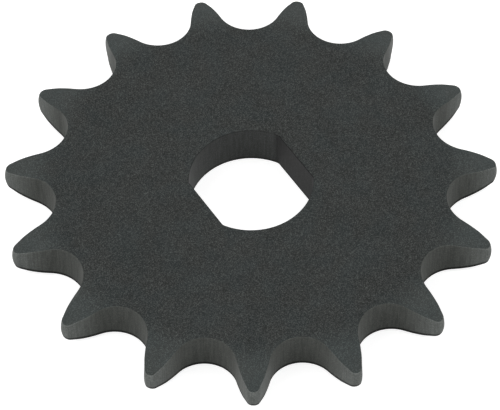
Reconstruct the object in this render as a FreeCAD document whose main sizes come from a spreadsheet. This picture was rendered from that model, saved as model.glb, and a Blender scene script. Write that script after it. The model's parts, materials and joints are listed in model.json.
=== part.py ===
import FreeCAD, Part
import Sketcher
import math
import os
from FreeCAD import Vector

# Flat plate sprocket for a half-inch roller chain, one piece of steel. It has no hub: the bore is a
# double D, a round hole with two flats. Sizes are in millimetres and degrees.
#
# The origin is on the bore's axis, in the lower face. +Z runs along the bore, out of the upper face,
# and the bore's two flats face each other along X.

# Driving sizes
SIZES = [
    ("tooth_count", 15, "teeth"),
    ("chain_pitch", 12.7, "from one roller's centre to the next"),
    ("roller_diameter", 8.51, "of the chain's rollers, whose centres lie on the pitch circle"),
    ("seat_clearance", 0.09, "by which a seat's diameter is larger than a roller's"),
    ("seat_angle", 128, "of a seat's arc"),
    ("flank_radius", 27, "of the convex flanks beside a seat"),
    ("tip_height", 2.9, "of the teeth above the pitch circle"),
    ("tip_round", 0.8, "radius of the two corners of a tip, seen along the bore"),
    ("plate_thickness", 6.2, "of the plate"),
    ("side_relief", 1.65, "taken off each face at the tip circle"),
    ("side_radius", 27, "of the arc from the face out to the relieved tip"),
    ("bore_diameter", 16.7, "of the bore's round part"),
    ("flat_depth", 1.15, "from the bore's round part in to each flat"),
    ("bore_corner", 0.8, "radius between the bore's flats and its round part"),
    ("tooth_phase", -8.5, "turn of the first gap from +Y, about the bore"),
    ("cutter_margin", 1, "by which each cut runs clear of the metal"),
]

# Sizes that follow from the driving ones, as expressions on the sheet
PITCH_RADIUS = "(Sizes.chain_pitch / (2 * sin(180 / Sizes.tooth_count)))"
TIP_RADIUS = f"({PITCH_RADIUS} + Sizes.tip_height)"
OUTSIDE = f"({TIP_RADIUS} + Sizes.cutter_margin)"
SEAT_RADIUS = "((Sizes.roller_diameter + Sizes.seat_clearance) / 2)"
ROOT_RADIUS = f"({PITCH_RADIUS} - Sizes.roller_diameter / 2)"

# Largest radius of a tip's corners, as a share of the land between them
LAND_SHARE = 0.7

# Largest distance at which two points count as one
TOLERANCE = 1e-4

# How a sketch numbers the ends and the centre of an arc, its own origin and its upright axis
START, END, CENTRE = range(1, 4)
ORIGIN = (-1, 1)
UPRIGHT = (-2,)


def fill_sheet(doc):
    sheet = doc.addObject("Spreadsheet::Sheet", "Sizes")
    for row, (name, value, meaning) in enumerate(SIZES, start=1):
        sheet.set(f"A{row}", name)
        sheet.set(f"B{row}", str(value))
        sheet.set(f"C{row}", meaning)
        sheet.setAlias(f"B{row}", name)
    doc.recompute()
    return sheet


def pitch_radius(sheet):
    return sheet.chain_pitch / (2 * math.sin(math.pi / sheet.tooth_count))


def tip_radius(sheet):
    return pitch_radius(sheet) + sheet.tip_height


def polar(radius, degrees):
    angle = math.radians(degrees)
    return Vector(radius * math.cos(angle), radius * math.sin(angle), 0)


def arc(centre, radius, first, last):
    """Arc from one angle to another, anticlockwise, in degrees."""
    circle = Part.Circle(centre, Vector(0, 0, 1), radius)
    return Part.ArcOfCircle(circle, math.radians(first), math.radians(last))


def origin_feature(body, role):
    return next(feature for feature in body.Origin.OriginFeatures if feature.Role == role)


def new_sketch(body, name, plane):
    sketch = body.newObject("Sketcher::SketchObject", name)
    sketch.AttachmentSupport = (origin_feature(body, plane), [""])
    sketch.MapMode = "FlatFace"
    return sketch


def tie(sketch, *rules):
    for rule in rules:
        sketch.addConstraint(Sketcher.Constraint(*rule))


def bind(sketch, name, size, kind, *args):
    """Adds a named dimension, whose value comes from the sheet."""
    index = sketch.addConstraint(Sketcher.Constraint(kind, *args))
    sketch.renameConstraint(index, name)
    sketch.setExpression(f"Constraints.{name}", size)


def check_step(doc, before, after, sign=-1):
    """A cut takes metal off, sign -1, and the round of an inner corner adds some, sign 1."""
    doc.recompute()
    if sign * (after.Shape.Volume - before.Shape.Volume) < TOLERANCE:
        raise RuntimeError(f"{after.Label} changes nothing")


def blank(doc, sheet, body):
    """The round blank, as large as the tip circle."""
    radius = tip_radius(sheet)
    sketch = new_sketch(body, "BlankCircle", "XY_Plane")
    circle = sketch.addGeometry(Part.Circle(Vector(0, 0, 0), Vector(0, 0, 1), radius))
    tie(sketch, ("Coincident", circle, CENTRE, *ORIGIN))
    bind(sketch, "tip_radius", TIP_RADIUS, "Radius", circle, radius)
    pad = body.newObject("PartDesign::Pad", "Blank")
    pad.Profile = sketch
    pad.setExpression("Length", "Sizes.plate_thickness")
    doc.recompute()
    return pad


def gap_sketch(sheet, body):
    """One tooth gap: a roller's seat, a convex flank on each side, and a line across, clear of the metal."""
    seat_radius = (sheet.roller_diameter + sheet.seat_clearance) / 2
    root_radius = pitch_radius(sheet) - sheet.roller_diameter / 2
    outside = tip_radius(sheet) + sheet.cutter_margin
    half = sheet.seat_angle / 2
    centre = Vector(0, root_radius + seat_radius, 0)
    left_centre = centre + polar(seat_radius + sheet.flank_radius, 270 - half)
    right_centre = centre + polar(seat_radius + sheet.flank_radius, 270 + half)
    rise = math.degrees(math.asin((outside - left_centre.y) / sheet.flank_radius))
    left_end = left_centre + polar(sheet.flank_radius, rise)
    right_end = right_centre + polar(sheet.flank_radius, 180 - rise)

    sketch = new_sketch(body, "GapOutline", "XY_Plane")
    sketch.setExpression(".AttachmentOffset.Rotation.Angle", "Sizes.tooth_phase")
    seat = sketch.addGeometry(arc(centre, seat_radius, 270 - half, 270 + half))
    left = sketch.addGeometry(arc(left_centre, sheet.flank_radius, 90 - half, rise))
    right = sketch.addGeometry(arc(right_centre, sheet.flank_radius, 180 - rise, 90 + half))
    across = sketch.addGeometry(Part.LineSegment(left_end, right_end))
    bottom = sketch.addGeometry(Part.Point(Vector(0, root_radius, 0)), True)
    tie(sketch,
        ("PointOnObject", seat, CENTRE, *UPRIGHT),
        ("PointOnObject", bottom, START, *UPRIGHT),
        ("PointOnObject", bottom, START, seat),
        ("Horizontal", seat, START, seat, END),
        ("Tangent", seat, START, left, START),
        ("Tangent", seat, END, right, END),
        ("Equal", left, right),
        ("Coincident", left, END, across, START),
        ("Coincident", right, START, across, END),
        ("Horizontal", across))
    bind(sketch, "root_radius", ROOT_RADIUS, "DistanceY", *ORIGIN, bottom, START, root_radius)
    bind(sketch, "seat_radius", SEAT_RADIUS, "Radius", seat, seat_radius)
    bind(sketch, "seat_angle", "Sizes.seat_angle * 1 deg", "Angle", seat, math.radians(sheet.seat_angle))
    bind(sketch, "flank_radius", "Sizes.flank_radius", "Radius", left, sheet.flank_radius)
    bind(sketch, "outside", OUTSIDE, "DistanceY", *ORIGIN, across, START, outside)
    return sketch


def gaps(doc, sheet, body, base):
    """The gap cut through the blank, and repeated once for each tooth."""
    pocket = body.newObject("PartDesign::Pocket", "Gap")
    pocket.Profile = gap_sketch(sheet, body)
    pocket.Type = "ThroughAll"
    pocket.Reversed = True
    check_step(doc, base, pocket)
    pattern = body.newObject("PartDesign::PolarPattern", "Gaps")
    pattern.Originals = [pocket]
    pattern.Axis = (origin_feature(body, "Z_Axis"), [""])
    pattern.Angle = 360
    pattern.setExpression("Occurrences", "Sizes.tooth_count")
    body.Tip = pattern
    check_step(doc, pocket, pattern)
    return pattern


def upright_edges(shape, choose):
    """Polar angles and names of the edges along Z nearest the axis, with min, or farthest, with max."""
    found = []
    for index, edge in enumerate(shape.Edges, start=1):
        low, high = edge.Vertexes[0].Point, edge.Vertexes[-1].Point
        if math.hypot(low.x - high.x, low.y - high.y) < TOLERANCE < abs(low.z - high.z):
            found.append((math.hypot(low.x, low.y), math.atan2(low.y, low.x), f"Edge{index}"))
    chosen = choose(distance for distance, angle, name in found)
    return sorted((angle, name) for distance, angle, name in found if abs(distance - chosen) < TOLERANCE)


def rounded_tips(doc, sheet, body, base):
    """Rounds the two corners of each tip, by no more than the land between them allows."""
    corners = upright_edges(base.Shape, max)
    angles = [angle for angle, name in corners]
    steps = [(after - before) % (2 * math.pi) for before, after in zip(angles, angles[1:] + angles[:1])]
    largest = LAND_SHARE * min(steps) * tip_radius(sheet)
    fillet = body.newObject("PartDesign::Fillet", "TipRound")
    fillet.Base = (base, [name for angle, name in corners])
    fillet.setExpression("Radius", f"min(Sizes.tip_round; {largest:.4f})")
    check_step(doc, base, fillet)
    return fillet


def relief_sketch(sheet, body):
    """Half section of what comes off the upper face: an arc leaves the face and falls towards the tips."""
    radius = sheet.side_radius
    face = sheet.plate_thickness
    top = face + sheet.cutter_margin
    tip = tip_radius(sheet)
    outside = tip + sheet.cutter_margin
    start = tip - math.sqrt(radius ** 2 - (radius - sheet.side_relief) ** 2)
    centre = Vector(start, face - radius, 0)
    sweep = math.degrees(math.asin((outside - start) / radius))

    sketch = new_sketch(body, "ReliefSection", "XZ_Plane")
    curve = sketch.addGeometry(arc(centre, radius, 90 - sweep, 90))
    inner = sketch.addGeometry(Part.LineSegment(Vector(start, face, 0), Vector(start, top, 0)))
    over = sketch.addGeometry(Part.LineSegment(Vector(start, top, 0), Vector(outside, top, 0)))
    lowest = centre + polar(radius, 90 - sweep)
    outer = sketch.addGeometry(Part.LineSegment(Vector(outside, top, 0), lowest))
    tip_point = sketch.addGeometry(Part.Point(Vector(tip, face - sheet.side_relief, 0)), True)
    tie(sketch,
        ("Coincident", curve, END, inner, START),
        ("Coincident", inner, END, over, START),
        ("Coincident", over, END, outer, START),
        ("Coincident", outer, END, curve, START),
        ("Vertical", inner),
        ("Horizontal", over),
        ("Vertical", outer),
        ("Vertical", curve, END, curve, CENTRE),
        ("PointOnObject", tip_point, START, curve))
    bind(sketch, "side_radius", "Sizes.side_radius", "Radius", curve, radius)
    bind(sketch, "face", "Sizes.plate_thickness", "DistanceY", *ORIGIN, inner, START, face)
    bind(sketch, "clearance", "Sizes.cutter_margin",
         "DistanceY", inner, START, inner, END, sheet.cutter_margin)
    bind(sketch, "side_relief", "Sizes.side_relief",
         "DistanceY", tip_point, START, inner, START, sheet.side_relief)
    bind(sketch, "tip_radius", TIP_RADIUS, "DistanceX", *ORIGIN, tip_point, START, tip)
    bind(sketch, "outside", OUTSIDE, "DistanceX", *ORIGIN, over, END, outside)
    return sketch


def side_relief(doc, sheet, body, base):
    """Both faces fall away towards the tips, so that a tooth enters between the chain's plates."""
    groove = body.newObject("PartDesign::Groove", "UpperRelief")
    groove.Profile = relief_sketch(sheet, body)
    groove.ReferenceAxis = (origin_feature(body, "Z_Axis"), [""])
    groove.Angle = 360
    check_step(doc, base, groove)
    middle = body.newObject("PartDesign::Plane", "MiddlePlane")
    middle.AttachmentSupport = (origin_feature(body, "XY_Plane"), [""])
    middle.MapMode = "FlatFace"
    middle.setExpression(".AttachmentOffset.Base.z", "Sizes.plate_thickness / 2")
    mirrored = body.newObject("PartDesign::Mirrored", "BothReliefs")
    mirrored.Originals = [groove]
    mirrored.MirrorPlane = (middle, [""])
    body.Tip = mirrored
    check_step(doc, groove, mirrored)
    return mirrored


def bore_sketch(sheet, body):
    """The double D: arcs at the ends of Y, joined by two flats."""
    radius = sheet.bore_diameter / 2
    half = radius - sheet.flat_depth
    corner = math.degrees(math.acos(half / radius))
    ends = [polar(radius, angle) for angle in (corner, 180 - corner, 180 + corner, 360 - corner)]

    sketch = new_sketch(body, "BoreOutline", "XY_Plane")
    upper = sketch.addGeometry(arc(Vector(0, 0, 0), radius, corner, 180 - corner))
    left = sketch.addGeometry(Part.LineSegment(ends[1], ends[2]))
    lower = sketch.addGeometry(arc(Vector(0, 0, 0), radius, 180 + corner, 360 - corner))
    right = sketch.addGeometry(Part.LineSegment(ends[3], ends[0]))
    tie(sketch,
        ("Coincident", upper, CENTRE, *ORIGIN),
        ("Coincident", lower, CENTRE, *ORIGIN),
        ("Equal", upper, lower),
        ("Coincident", upper, END, left, START),
        ("Coincident", left, END, lower, START),
        ("Coincident", lower, END, right, START),
        ("Coincident", right, END, upper, START),
        ("Vertical", left),
        ("Vertical", right),
        ("Horizontal", upper, START, upper, END))
    bind(sketch, "bore_radius", "Sizes.bore_diameter / 2", "Radius", upper, radius)
    bind(sketch, "across_flats", "Sizes.bore_diameter - 2 * Sizes.flat_depth",
         "DistanceX", left, START, right, END, 2 * half)
    return sketch


def bore(doc, sheet, body, base):
    """The bore, cut through, with its four inner corners rounded."""
    pocket = body.newObject("PartDesign::Pocket", "Bore")
    pocket.Profile = bore_sketch(sheet, body)
    pocket.Type = "ThroughAll"
    pocket.Reversed = True
    check_step(doc, base, pocket)
    fillet = body.newObject("PartDesign::Fillet", "BoreCorners")
    fillet.Base = (pocket, [name for angle, name in upright_edges(pocket.Shape, min)])
    fillet.setExpression("Radius", "Sizes.bore_corner")
    check_step(doc, pocket, fillet, sign=1)
    return fillet


def sprocket(doc, sheet):
    body = doc.addObject("PartDesign::Body", "Sprocket")
    body.Label = "sprocket"
    step = blank(doc, sheet, body)
    for feature in (gaps, rounded_tips, side_relief, bore):
        step = feature(doc, sheet, body, step)
    body.Tip = step
    return body


def check(doc, bodies):
    for item in doc.Objects:
        if "Invalid" in item.State or "Error" in item.State:
            raise RuntimeError(f"{item.Label} did not build: {item.State}")
    for body in bodies:
        shape = body.Shape
        if shape.isNull() or not shape.isValid() or len(shape.Solids) != 1:
            raise RuntimeError(f"{body.Label} is not one valid solid")


def main():
    doc = FreeCAD.newDocument("PlateSprocket")
    sheet = fill_sheet(doc)
    bodies = [sprocket(doc, sheet)]
    doc.recompute()
    check(doc, bodies)
    os.makedirs("parts", exist_ok=True)
    for body in bodies:
        body.Shape.exportStep(f"parts/{body.Label}.step")
        box = body.Shape.optimalBoundingBox(False)
        print(f"{body.Label}: {box.XLength:.2f} x {box.YLength:.2f} x {box.ZLength:.2f} mm, "
              f"{body.Shape.Volume / 1000:.2f} cm3, {len(body.Shape.Faces)} faces")


main()
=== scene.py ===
# A chain sprocket with 15 teeth in black-oxide steel, lying on a white table.
# Everything is in metres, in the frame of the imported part: the bore's axis is Z and the lower face is at 0.
import json
import math

import bpy
from mathutils import Matrix, Vector

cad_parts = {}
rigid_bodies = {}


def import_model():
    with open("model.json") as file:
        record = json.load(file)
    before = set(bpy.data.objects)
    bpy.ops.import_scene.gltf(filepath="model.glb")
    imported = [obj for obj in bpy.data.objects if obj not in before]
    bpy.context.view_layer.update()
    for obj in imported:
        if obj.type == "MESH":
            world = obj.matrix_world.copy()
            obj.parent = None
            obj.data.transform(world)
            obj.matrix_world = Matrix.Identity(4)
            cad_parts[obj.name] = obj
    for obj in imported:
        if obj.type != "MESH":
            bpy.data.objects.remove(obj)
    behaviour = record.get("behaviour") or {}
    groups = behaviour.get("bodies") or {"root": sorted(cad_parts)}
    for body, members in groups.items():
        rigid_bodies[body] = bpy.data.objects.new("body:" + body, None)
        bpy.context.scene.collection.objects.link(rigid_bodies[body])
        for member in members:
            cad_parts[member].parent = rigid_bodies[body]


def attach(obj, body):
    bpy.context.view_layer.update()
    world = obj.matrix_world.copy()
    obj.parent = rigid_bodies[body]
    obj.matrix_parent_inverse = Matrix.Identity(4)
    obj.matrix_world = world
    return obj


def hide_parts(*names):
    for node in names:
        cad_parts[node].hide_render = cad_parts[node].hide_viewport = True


# Shared helpers

def towards(azimuth, elevation):
    # the way from the sprocket to something at these angles, in degrees; azimuth 0 lies on the side of -Y
    azimuth = math.radians(azimuth)
    elevation = math.radians(elevation)
    level = math.cos(elevation)
    return Vector((math.sin(azimuth) * level, -math.cos(azimuth) * level, math.sin(elevation)))


def addNode(tree, kind, at, **settings):
    made = tree.nodes.new("ShaderNode" + kind)
    made.location = at
    for key, value in settings.items():
        setattr(made, key, value)
    return made


def feed(tree, target, source):
    # a socket is linked, anything else is written into the target as it is
    if isinstance(source, bpy.types.NodeSocket):
        tree.links.new(source, target)
    else:
        target.default_value = source


def sums(tree, operation, at, first, second=0.5, third=0.5):
    made = addNode(tree, "Math", at, operation=operation)
    feed(tree, made.inputs[0], first)
    feed(tree, made.inputs[1], second)
    feed(tree, made.inputs[2], third)
    return made.outputs[0]


def ramp(tree, at, value, low, high, start=0.0, end=1.0):
    # value from low to high becomes start to end, with soft ends
    made = addNode(tree, "MapRange", at, interpolation_type="SMOOTHSTEP")
    feed(tree, made.inputs["Value"], value)
    made.inputs["From Min"].default_value = low
    made.inputs["From Max"].default_value = high
    made.inputs["To Min"].default_value = start
    made.inputs["To Max"].default_value = end
    return made.outputs["Result"]


def blendColour(tree, at, share, first, second, mode="MIX"):
    made = addNode(tree, "Mix", at, data_type="RGBA", blend_type=mode)
    feed(tree, made.inputs["Factor"], share)
    feed(tree, made.inputs[6], first)
    feed(tree, made.inputs[7], second)
    return made.outputs[2]


def blendValue(tree, at, share, first, second):
    made = addNode(tree, "Mix", at, data_type="FLOAT")
    feed(tree, made.inputs[0], share)
    feed(tree, made.inputs[2], first)
    feed(tree, made.inputs[3], second)
    return made.outputs[0]


def axisOf(tree, at, vector, axis):
    made = addNode(tree, "SeparateXYZ", at)
    feed(tree, made.inputs[0], vector)
    return made.outputs[axis]


def grain(tree, at, place, size, detail=2.0, roughness=0.5, stretch=None):
    # size is about the width of one patch, in metres; a stretch under 1 draws the patches out along that axis
    if stretch:
        scaled = addNode(tree, "VectorMath", (at[0] - 180, at[1]), operation="MULTIPLY")
        feed(tree, scaled.inputs[0], place)
        scaled.inputs[1].default_value = stretch
        place = scaled.outputs[0]
    made = addNode(tree, "TexNoise", at)
    feed(tree, made.inputs["Vector"], place)
    made.inputs["Scale"].default_value = 1 / size
    made.inputs["Detail"].default_value = detail
    made.inputs["Roughness"].default_value = roughness
    return made.outputs["Fac"]


# Camera

view = {
    "aim": (-0.001172, -0.001523, 0.0031),  # what the middle of the picture shows
    "azimuth": -32.65,  # degrees round the bore, 0 looks along +Y
    "elevation": 53.10,  # degrees above the table
    "distance": 0.4632,
    "roll": 0.46,  # degrees
    "lens": 248.25,  # millimetres, over a sensor 36 wide
}


def placeCamera():
    back = towards(view["azimuth"], view["elevation"])
    roll = math.radians(view["roll"])
    level = Vector((0, 0, 1)).cross(back).normalized()
    rise = back.cross(level)
    right = level * math.cos(roll) - rise * math.sin(roll)
    up = back.cross(right)
    data = bpy.data.cameras.new("benchCamera")
    data.sensor_fit = "HORIZONTAL"
    data.sensor_width = 36
    data.lens = view["lens"]
    data.clip_start = 0.01
    data.clip_end = 20
    camera = bpy.data.objects.new("benchCamera", data)
    bpy.context.scene.collection.objects.link(camera)
    turn = Matrix((right, up, back)).transposed().to_4x4()
    camera.matrix_world = Matrix.Translation(Vector(view["aim"]) + back * view["distance"]) @ turn
    bpy.context.scene.camera = camera
    print("camera placed")


# Table and backdrop

table = {
    "size": 6.0,
    "drop": 0.00002,  # the table top lies this far under the sprocket
    "colour": (0.62, 0.62, 0.62, 1),
    "paper": 0.75,  # white that the camera sees, besides what the lamps light
    "sheen": 0.50,  # the same for what a reflection sees
}


def seenDirectly(tree, at, straight=1.0, mirrored=1.0):
    # straight for what is looked at or seen through glass, mirrored for a reflection, else nothing
    path = addNode(tree, "LightPath", at)
    looked = sums(tree, "MAXIMUM", (at[0] + 200, at[1]), path.outputs["Is Camera Ray"],
                  path.outputs["Is Transmission Ray"])
    shown = sums(tree, "MULTIPLY", (at[0] + 380, at[1]), looked, straight)
    return sums(tree, "MULTIPLY_ADD", (at[0] + 560, at[1]), path.outputs["Is Glossy Ray"], mirrored, shown)


def makeTable():
    half = table["size"] / 2
    corners = [(-half, -half), (half, -half), (half, half), (-half, half)]
    sheet = bpy.data.meshes.new("tableTop")
    sheet.from_pydata([(x, y, -table["drop"]) for x, y in corners], [], [(0, 1, 2, 3)])
    top = bpy.data.objects.new("tableTop", sheet)
    bpy.context.scene.collection.objects.link(top)
    white = bpy.data.materials.new("whiteTable")
    white.use_nodes = True
    tree = white.node_tree
    tree.nodes.clear()
    chalk = addNode(tree, "BsdfDiffuse", (0, 0))
    chalk.inputs["Color"].default_value = table["colour"]
    glow = addNode(tree, "Emission", (0, -160))
    feed(tree, glow.inputs["Strength"],
         seenDirectly(tree, (-900, -160), table["paper"], table["sheen"]))
    both = addNode(tree, "AddShader", (220, 0))
    tree.links.new(chalk.outputs[0], both.inputs[0])
    tree.links.new(glow.outputs[0], both.inputs[1])
    out = addNode(tree, "OutputMaterial", (420, 0))
    tree.links.new(both.outputs[0], out.inputs["Surface"])
    sheet.materials.append(white)
    print("table laid")


# Light

light = {
    "sky": 0.30,  # even light from all round
    "softboxes": {  # azimuth, elevation, watts
        "leftSoftbox": (-95, 40, 4.2),
        "rightSoftbox": (35, 40, 3.4),
        "backSoftbox": (148, 45, 2.6),
    },
    "distance": 0.9,  # of each softbox from the bore
    "side": 0.7,  # of each square softbox
}


def hangSoftbox(name, azimuth, elevation, watts):
    back = towards(azimuth, elevation)
    data = bpy.data.lights.new(name, "AREA")
    data.shape = "SQUARE"
    data.size = light["side"]
    data.energy = watts
    lamp = bpy.data.objects.new(name, data)
    bpy.context.scene.collection.objects.link(lamp)
    lamp.location = back * light["distance"]
    lamp.rotation_mode = "QUATERNION"
    lamp.rotation_quaternion = back.to_track_quat("Z", "Y")


def lightTheBench():
    world = bpy.data.worlds.new("studio")
    world.use_nodes = True
    tree = world.node_tree
    tree.nodes.clear()
    backdrop = addNode(tree, "Background", (0, 0))
    backdrop.inputs["Color"].default_value = (1, 1, 1, 1)
    shown = seenDirectly(tree, (-900, 0))
    feed(tree, backdrop.inputs["Strength"], ramp(tree, (-200, 0), shown, 0, 1, light["sky"], 1.0))
    out = addNode(tree, "OutputWorld", (220, 0))
    tree.links.new(backdrop.outputs[0], out.inputs["Surface"])
    bpy.context.scene.world = world
    for name, facts in light["softboxes"].items():
        hangSoftbox(name, *facts)
    bpy.context.scene.view_settings.view_transform = "Standard"
    print("bench lit")


# The sprocket's mesh: the CAD part's own outline, with the turned, bulging tips and the eased edges

teeth = {
    "count": 15,
    "pitch": 0.0127,
    "roller": 0.00851,
    "seatRadius": 0.0043,
    "seatHalf": 64,  # degrees of the seat on each side of a valley's middle
    "flankRadius": 0.027,
    "tipHeight": 0.0029,  # above the pitch circle
    "tipRound": 0.00085,
    "phase": -8.5,  # degrees from +Y to the first valley
    "bulge": 0.00020,  # how far the tips' upper and lower edges are turned down
    "bulgeStart": 0.0312,  # the bulge fades in from this radius
    "steps": (14, 12, 9, 1),  # columns along half a seat, a flank, a tip's corner and the land
}
plate = {
    "thickness": 0.0062,
    "reliefDepth": 0.00165,  # on each side, at the tips
    "reliefRadius": 0.027,
    "boreRadius": 0.00835,
    "flat": 0.0072,  # from the bore's axis to a flat
    "boreCorner": 0.0008,
    "edge": 0.00012,  # rounding of the rims
    "edgeSteps": 3,
    "faceRings": (0.0125, 0.0185),  # radii of the rings of points on the flat face
    "reliefRings": 12,
    "wallRings": 5,  # in half the thickness
}


def pitchRadius():
    return teeth["pitch"] / 2 / math.sin(math.pi / teeth["count"])


def tipRadius():
    return pitchRadius() + teeth["tipHeight"]


def landHeight():
    # from the middle plane to the upper edge of a tip
    return plate["thickness"] / 2 - plate["reliefDepth"]


def reliefStart():
    # the radius at which the relief's arc leaves the flat face
    drop = plate["reliefRadius"] - plate["reliefDepth"]
    return tipRadius() - math.sqrt(plate["reliefRadius"] ** 2 - drop ** 2)


def onArc(middle, radius, start, end, steps, outward):
    # points of an arc with the way out of the steel; outward is 1 for a convex arc, -1 for a hollow one
    found = []
    for step in range(steps + 1):
        angle = math.radians(start + (end - start) * step / steps)
        way = Vector((math.cos(angle), math.sin(angle)))
        found.append((middle + way * radius, way * outward))
    return found


def halfGap():
    # from a valley's middle, at +Y, to the middle of the next tooth
    seat = Vector((0, pitchRadius() - teeth["roller"] / 2 + teeth["seatRadius"]))
    turn = 270 - teeth["seatHalf"]
    way = Vector((math.cos(math.radians(turn)), math.sin(math.radians(turn))))
    flank = seat + way * (teeth["seatRadius"] + teeth["flankRadius"])
    # the corner's arc touches both the flank and the tip circle from inside
    near = teeth["flankRadius"] - teeth["tipRound"]
    far = tipRadius() - teeth["tipRound"]
    reach = flank.length
    along = (far ** 2 - near ** 2 + reach ** 2) / (2 * reach)
    side = math.sqrt(far ** 2 - along ** 2)
    outwards = flank / reach
    corner = outwards * along + Vector((outwards.y, -outwards.x)) * side
    leaves = math.degrees(math.atan2(corner.y - flank.y, corner.x - flank.x))
    lands = math.degrees(math.atan2(corner.y, corner.x))
    middle = 90 + 180 / teeth["count"]
    seatSteps, flankSteps, cornerSteps, landSteps = teeth["steps"]
    line = onArc(seat, teeth["seatRadius"], 270, turn, seatSteps, -1)
    line += onArc(flank, teeth["flankRadius"], turn - 180, leaves, flankSteps, 1)[1:]
    line += onArc(corner, teeth["tipRound"], leaves, lands, cornerSteps, 1)[1:]
    line += onArc(Vector((0, 0)), tipRadius(), lands, middle, landSteps, 1)[1:]
    return line


def outline():
    # once round the teeth, with the way out of the steel at each point
    half = halfGap()
    mirrored = [(Vector((-p.x, p.y)), Vector((-w.x, w.y))) for p, w in half]
    gap = mirrored[::-1][1:] + half[1:]
    line = []
    for index in range(teeth["count"]):
        turn = Matrix.Rotation(math.radians(teeth["phase"] + index * 360 / teeth["count"]), 2)
        line += [(turn @ p, turn @ w) for p, w in gap]
    return line


def boreAt(angle):
    # the bore's edge in this direction, and the way out of the steel there
    way = Vector((abs(math.cos(angle)), abs(math.sin(angle))))
    centreX = plate["flat"] - plate["boreCorner"]
    centre = Vector((centreX, math.sqrt((plate["boreRadius"] - plate["boreCorner"]) ** 2 - centreX ** 2)))
    here = math.atan2(way.y, way.x)
    if here < math.atan2(centre.y, plate["flat"]):
        reach = plate["flat"] / way.x
        out = Vector((-1, 0))
    elif here > math.atan2(centre.y, centre.x):
        reach = plate["boreRadius"]
        out = -way
    else:
        middle = centre.dot(way)
        reach = middle + math.sqrt(plate["boreCorner"] ** 2 - centre.length_squared + middle ** 2)
        out = (centre - way * reach).normalized()
    signs = (math.copysign(1, math.cos(angle)), math.copysign(1, math.sin(angle)))
    signed = Vector((way.x * signs[0], way.y * signs[1])) * reach
    return signed, Vector((out.x * signs[0], out.y * signs[1]))


def easedHeight(radius):
    # the upper face's height above the middle plane, and its slope outwards
    over = max(0, radius - reliefStart())
    drop = math.sqrt(plate["reliefRadius"] ** 2 - over ** 2)
    return plate["thickness"] / 2 - plate["reliefRadius"] + drop, over / drop


def bulgeShare(point):
    # 0 where the bulge starts, 1 at the tip circle
    share = (point.length - teeth["bulgeStart"]) / (tipRadius() - teeth["bulgeStart"])
    share = max(0, min(1, share))
    return share * share * (3 - 2 * share)


def turnedDown(point, height):
    # where the wall through this point of the outline stands at a height above the middle plane
    depth = point.normalized() * teeth["bulge"] * bulgeShare(point)
    return point - depth * (height / landHeight()) ** 2


def raised(flat, height, stretch=1):
    # a point or way of the plan, made longer by stretch and given a height
    return Vector((flat.x * stretch, flat.y * stretch, height))


def leans():
    # how far each step round an eased edge has turned
    return [math.pi / 2 * step / plate["edgeSteps"] for step in range(plate["edgeSteps"] + 1)]


def boreSide(point):
    # the bore's wall in the direction of this point, up from its middle height and round its upper edge
    bore, inwards = boreAt(math.atan2(point.y, point.x))
    edge = plate["edge"]
    found = [(raised(bore, 0), raised(inwards, 0))]
    for lean in leans():
        flat = bore - inwards * edge * (1 - math.cos(lean))
        found.append((raised(flat, plate["thickness"] / 2 - edge * (1 - math.sin(lean))),
                      raised(inwards, math.sin(lean), math.cos(lean))))
    return found


def upperFace(brink):
    # over the flat face and down the relief, as far as the brink of the tooth's edge
    ray = brink.normalized()
    middle = plate["thickness"] / 2
    found = [(raised(ray, middle, reach), Vector((0, 0, 1))) for reach in plate["faceRings"]]
    for ring in range(plate["reliefRings"]):
        reach = reliefStart() + (brink.length - reliefStart()) * ring / plate["reliefRings"]
        height, slope = easedHeight(reach)
        found.append((raised(ray, height, reach), raised(ray, 1, slope).normalized()))
    return found


def toothSide(point, way, top):
    # round the tooth's upper edge, whose corner is top, and down its wall to the middle height
    edge = plate["edge"]
    outwards = point.normalized()
    # the wall leans more the further it is from the middle height
    steep = 2 * teeth["bulge"] * bulgeShare(point) / landHeight() ** 2 * outwards.dot(way)
    found = []
    for lean in leans():
        flat = top - way * edge * (1 - math.sin(lean))
        height, slope = easedHeight(flat.length)
        face = raised(outwards, 1, slope).normalized()
        wall = raised(way, steep * height).normalized()
        found.append((raised(flat, height - edge * (1 - math.cos(lean))),
                      (face * math.cos(lean) + wall * math.sin(lean)).normalized()))
    wallTop = found[-1][0].z
    for ring in range(1, plate["wallRings"] + 1):
        height = wallTop * (1 - ring / plate["wallRings"])
        found.append((raised(turnedDown(point, height), height),
                      raised(way, steep * height).normalized()))
    return found


def section(point, way):
    # one upright cut through the steel: over the upper half, and back along its mirror image below
    # the bulge needs the edge's height and the height needs its radius, so the two settle in three rounds
    top = point
    for settling in range(3):
        top = turnedDown(point, easedHeight(top.length)[0] - plate["edge"])
    upper = boreSide(point) + upperFace(top - way * plate["edge"]) + toothSide(point, way, top)
    lower = [(raised(p, -p.z), raised(n, -n.z)) for p, n in upper[-2:0:-1]]
    return upper + lower


def makeSprocket():
    middle = Vector((0, 0, plate["thickness"] / 2))
    sections = [section(point, way) for point, way in outline()]
    columns = len(sections)
    around = len(sections[0])
    points = [place + middle for cut in sections for place, normal in cut]
    normals = [normal for cut in sections for place, normal in cut]
    faces = []
    for column in range(columns):
        following = (column + 1) % columns
        for row in range(around):
            above = (row + 1) % around
            faces.append((column * around + row, column * around + above,
                          following * around + above, following * around + row))
    shape = bpy.data.meshes.new("sprocketPlate")
    shape.from_pydata(points, [], faces)
    shape.shade_smooth()
    shape.normals_split_custom_set_from_vertices(normals)
    piece = bpy.data.objects.new("sprocketPlate", shape)
    bpy.context.scene.collection.objects.link(piece)
    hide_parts("sprocket")
    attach(piece, "root")
    print("sprocket made:", columns, "columns,", len(faces), "faces")
    return piece


# The sprocket's finish, with its painted shade and highlights

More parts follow.
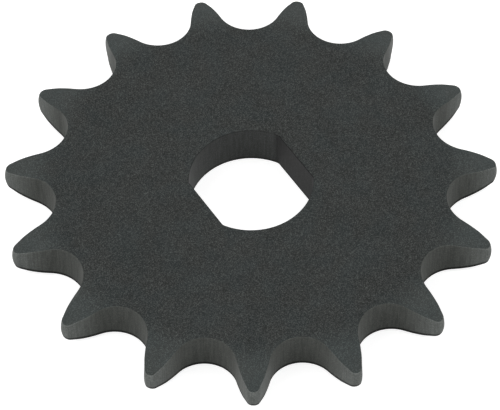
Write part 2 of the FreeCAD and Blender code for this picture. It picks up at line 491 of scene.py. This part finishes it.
finishAndPaintedLight = {
    "face": (0.0383, 0.0409, 0.0393, 1),  # oxide on the flat faces
    "relief": (0.0562, 0.0622, 0.0600, 1),  # on the eased sides of the teeth
    "valleyShade": (0.0770, 0.0812, 0.0750, 1),  # cut edge, deep between the teeth, darkened as painted shade
    "crown": (0.1455, 0.1550, 0.1480, 1),  # cut edge, out at the tips, where the valleys' painted shade has faded
    "round": (0.0622, 0.0652, 0.0632, 1),  # bore, its round part, darkened as painted shade
    "flat": (0.0330, 0.0333, 0.0330, 1),  # bore, its flats, darker still as painted shade
    "grain": 0.000088,  # size of the oxide's grains
    "grit": 0.41,  # how far the grains' tones lie apart
    "gritPower": 3.0,  # the higher it is, the fewer of the grains are light
    "reliefGrit": 0.5,  # the grains' contrast on the teeth, as a share
    "wallGrit": 0.14,  # the same on the walls
    "dust": 0.00016,  # size of the finest bumps
    "cloud": 0.05,  # how much the tone drifts over the faces
    "cloudSize": 0.005,
    "noiseSpan": (0.3, 0.7),  # where most of a noise's values lie
    "blueCast": 0.10,  # how much the hue drifts
    "blue": (0.026, 0.050, 0.058, 1),
    "blueSize": 0.0035,
    "blueSpan": (0.35, 0.7),  # the noise's values between which the cast comes in
    "lines": 0.00024,  # width of the cutter's lines on the walls
    "lineStretch": (1, 1, 0.06),  # draws the lines out through the thickness
    "marks": 0.13,  # how strong the cutter's marks on the walls are
    "faceRough": 0.60,
    "wallRough": 0.50,
    "roughDrift": 0.12,
    "gloss": 0.05,
    "bump": 0.35,
    "bumpHeight": 0.00003,  # from the lowest to the highest
    "faceTilt": (0.62, 0.86),  # looking up less than the first is wall, more than the second is face
    "edgeTilt": (0.80, 0.92),  # the edges' tones end between these
    "rimTilt": (0.05, 0.45),  # the painted highlight, and the bore's painted shade, come in as the softened edge turns up between these
    "reliefRadii": (0.0255, 0.0305),  # the relief's tone fades in between these
    "crownRadii": (0.0283, 0.0343),  # the tips' tone fades in between these, as the valleys' painted shade fades out
    "boreRadii": (0.0095, 0.0105),  # inside the first is the bore
    "flatReach": (0.0067, 0.0072),  # towards this far out along X the bore gets the flats' tone
    "edgeBreak": 0.00015,  # rounding of the sharp edges
    "edgeSamples": 6,
    "underEdgeShade": 0.18,  # tone left along the walls' lower edges: painted shade, as of a contact shadow
    "boreUnderShade": 0.6,  # the same painted shade in the bore
    "underHeights": (0.00043, 0.00067),  # above the edge: the painted shade is full up to the first, gone at the second
    "rimHighlight": 1.15,  # tone of the walls' upper edges: a painted highlight
    "boreRimShade": 0.55,  # tone of the bore's upper edges: painted shade
}


def oxideGrains(tree, place):
    # every grain has its own tone: most are dark and a few are light, about a mean of nothing
    cells = addNode(tree, "TexVoronoi", (-1840, 700), feature="F1")
    feed(tree, cells.inputs["Vector"], place)
    cells.inputs["Scale"].default_value = 1 / finishAndPaintedLight["grain"]
    tone = axisOf(tree, (-1640, 700), cells.outputs["Color"], "X")
    peaked = sums(tree, "POWER", (-1640, 500), tone, finishAndPaintedLight["gritPower"])
    return sums(tree, "MULTIPLY_ADD", (-1440, 600), peaked, finishAndPaintedLight["gritPower"] + 1, -1.0)


def faceOxide(tree, place, relieved, gritty):
    # slow clouds drift over the grains, and a faint blue over both
    share = blendValue(tree, (-1440, 350), relieved, finishAndPaintedLight["grit"], finishAndPaintedLight["grit"] * finishAndPaintedLight["reliefGrit"])
    cloud = grain(tree, (-1840, 200), place, finishAndPaintedLight["cloudSize"], detail=3)
    drift = ramp(tree, (-1640, 200), cloud, *finishAndPaintedLight["noiseSpan"], 1 - finishAndPaintedLight["cloud"], 1 + finishAndPaintedLight["cloud"])
    speckled = sums(tree, "MULTIPLY_ADD", (-1240, 400), gritty, share, drift)
    tone = blendColour(tree, (-1240, 800), relieved, finishAndPaintedLight["face"], finishAndPaintedLight["relief"])
    colour = blendColour(tree, (-1040, 600), 1.0, tone, speckled, "MULTIPLY")
    haze = grain(tree, (-1840, 0), place, finishAndPaintedLight["blueSize"])
    cast = ramp(tree, (-1640, 0), haze, *finishAndPaintedLight["blueSpan"], 0, finishAndPaintedLight["blueCast"])
    return blendColour(tree, (-840, 600), cast, colour, finishAndPaintedLight["blue"])


def wallOxideAndShade(tree, place, radius, outside, gritty, lines):
    # painted shade in the valleys and in the bore, with the cutter's marks through the thickness
    crown = ramp(tree, (-1840, -960), radius, *finishAndPaintedLight["crownRadii"])
    # the valleys' tone is painted shade, fading out towards the tips
    outer = blendColour(tree, (-1440, -960), crown, finishAndPaintedLight["valleyShade"], finishAndPaintedLight["crown"])
    sideways = sums(tree, "ABSOLUTE", (-2020, -1760), axisOf(tree, (-2200, -1760), place, "X"))
    onFlat = ramp(tree, (-1840, -1760), sideways, *finishAndPaintedLight["flatReach"])
    # the bore's tones are painted shade, darkest on the flats
    inner = blendColour(tree, (-1440, -1220), onFlat, finishAndPaintedLight["round"], finishAndPaintedLight["flat"])
    tone = blendColour(tree, (-1240, -1100), outside, inner, outer)
    marks = ramp(tree, (-1640, -1500), lines, *finishAndPaintedLight["noiseSpan"], 1 - finishAndPaintedLight["marks"], 1 + finishAndPaintedLight["marks"])
    worn = sums(tree, "MULTIPLY_ADD", (-1240, -1400), gritty, finishAndPaintedLight["wallGrit"], marks)
    return blendColour(tree, (-1040, -1100), 1.0, tone, worn, "MULTIPLY")


def edgeShade(tree, place, radius, outside, upright, softened):
    # painted shade along the walls' lower edges, a painted highlight along their upper edges and painted
    # shade round the bore's upper edge; over is how far out on the relief
    over = sums(tree, "SUBTRACT", (-1640, -120), radius, reliefStart())
    over = sums(tree, "MAXIMUM", (-1460, -120), over, 0.0)
    steepness = sums(tree, "DIVIDE", (-1460, -260), over, 2 * plate["reliefRadius"])
    lowEdge = sums(tree, "MULTIPLY", (-1280, -120), over, steepness)
    rise = sums(tree, "SUBTRACT", (-1160, -120), axisOf(tree, (-1240, -300), place, "Z"), lowEdge)
    above = ramp(tree, (-1040, -120), rise, *finishAndPaintedLight["underHeights"])
    # painted shade along the lower edges, weaker in the bore
    underShadeTone = blendValue(tree, (-1040, 40), outside, finishAndPaintedLight["boreUnderShade"], finishAndPaintedLight["underEdgeShade"])
    underShade = blendValue(tree, (-860, -120), above, underShadeTone, 1.0)
    turned = axisOf(tree, (-1040, -300), softened, "Z")
    upper = ramp(tree, (-860, -300), turned, *finishAndPaintedLight["rimTilt"])
    # a painted highlight on the walls' upper edges and painted shade on the bore's
    rimLightAndShadeTone = blendValue(tree, (-860, -460), outside, finishAndPaintedLight["boreRimShade"], finishAndPaintedLight["rimHighlight"])
    rimLightAndShade = blendValue(tree, (-700, -300), upper, 1.0, rimLightAndShadeTone)
    shade = sums(tree, "MULTIPLY", (-700, -120), underShade, rimLightAndShade)
    flatShare = ramp(tree, (-860, 60), upright, *finishAndPaintedLight["edgeTilt"])
    return blendValue(tree, (-520, -120), flatShare, shade, 1.0)


def blackOxide():
    made = bpy.data.materials.new("blackOxide")
    made.use_nodes = True
    tree = made.node_tree
    tree.nodes.clear()
    place = addNode(tree, "TexCoord", (-2400, 0)).outputs["Object"]
    geometry = addNode(tree, "NewGeometry", (-2400, -400))
    edge = addNode(tree, "Bevel", (-1240, -500), samples=finishAndPaintedLight["edgeSamples"])
    edge.inputs["Radius"].default_value = finishAndPaintedLight["edgeBreak"]
    softened = edge.outputs[0]

    # where on the sprocket: flat face or cut wall, and how far out
    tilt = axisOf(tree, (-2200, -400), geometry.outputs["True Normal"], "Z")
    upright = sums(tree, "ABSOLUTE", (-2020, -400), tilt)
    onFace = ramp(tree, (-1840, -400), upright, *finishAndPaintedLight["faceTilt"])
    across = addNode(tree, "VectorMath", (-2200, -700), operation="MULTIPLY")
    feed(tree, across.inputs[0], place)
    across.inputs[1].default_value = (1, 1, 0)
    reach = addNode(tree, "VectorMath", (-2020, -700), operation="LENGTH")
    feed(tree, reach.inputs[0], across.outputs[0])
    radius = reach.outputs["Value"]
    relieved = ramp(tree, (-1840, -700), radius, *finishAndPaintedLight["reliefRadii"])
    outside = ramp(tree, (-1840, -1220), radius, *finishAndPaintedLight["boreRadii"])

    # the oxide's colour, with painted shade and highlights
    gritty = oxideGrains(tree, place)
    lines = grain(tree, (-1840, -1500), place, finishAndPaintedLight["lines"], detail=3, stretch=finishAndPaintedLight["lineStretch"])
    colour = blendColour(tree, (-560, 200), onFace,
                         wallOxideAndShade(tree, place, radius, outside, gritty, lines),
                         faceOxide(tree, place, relieved, gritty))
    shade = edgeShade(tree, place, radius, outside, upright, softened)
    shader = addNode(tree, "BsdfPrincipled", (0, 0))
    feed(tree, shader.inputs["Base Color"],
         blendColour(tree, (-360, 200), 1.0, colour, shade, "MULTIPLY"))

    # its gloss and roughness, which drifts about its own value
    dust = grain(tree, (-1840, 450), place, finishAndPaintedLight["dust"], roughness=0.6)
    shader.inputs["Specular IOR Level"].default_value = finishAndPaintedLight["gloss"]
    rough = blendValue(tree, (-560, -100), onFace, finishAndPaintedLight["wallRough"], finishAndPaintedLight["faceRough"])
    evened = sums(tree, "SUBTRACT", (-560, -280), rough, finishAndPaintedLight["roughDrift"] / 2)
    feed(tree, shader.inputs["Roughness"],
         sums(tree, "MULTIPLY_ADD", (-380, -100), dust, finishAndPaintedLight["roughDrift"], evened))

    # the surface itself: grit on the faces, drawn lines on the walls, softened edges
    bump = addNode(tree, "Bump", (-300, -500))
    bump.inputs["Strength"].default_value = finishAndPaintedLight["bump"]
    bump.inputs["Distance"].default_value = finishAndPaintedLight["bumpHeight"]
    feed(tree, bump.inputs["Height"], blendValue(tree, (-560, -500), onFace, lines, dust))
    tree.links.new(softened, bump.inputs["Normal"])
    tree.links.new(bump.outputs[0], shader.inputs["Normal"])
    out = addNode(tree, "OutputMaterial", (300, 0))
    tree.links.new(shader.outputs[0], out.inputs["Surface"])
    return made


def dressSprocket(sprocket):
    sprocket.data.materials.append(blackOxide())
    print("sprocket finished")


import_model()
for leftover in [o for o in bpy.data.objects if o.name in ("Cube", "Light", "Camera")]:
    bpy.data.objects.remove(leftover)
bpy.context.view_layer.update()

placeCamera()
makeTable()
lightTheBench()
dressSprocket(makeSprocket())
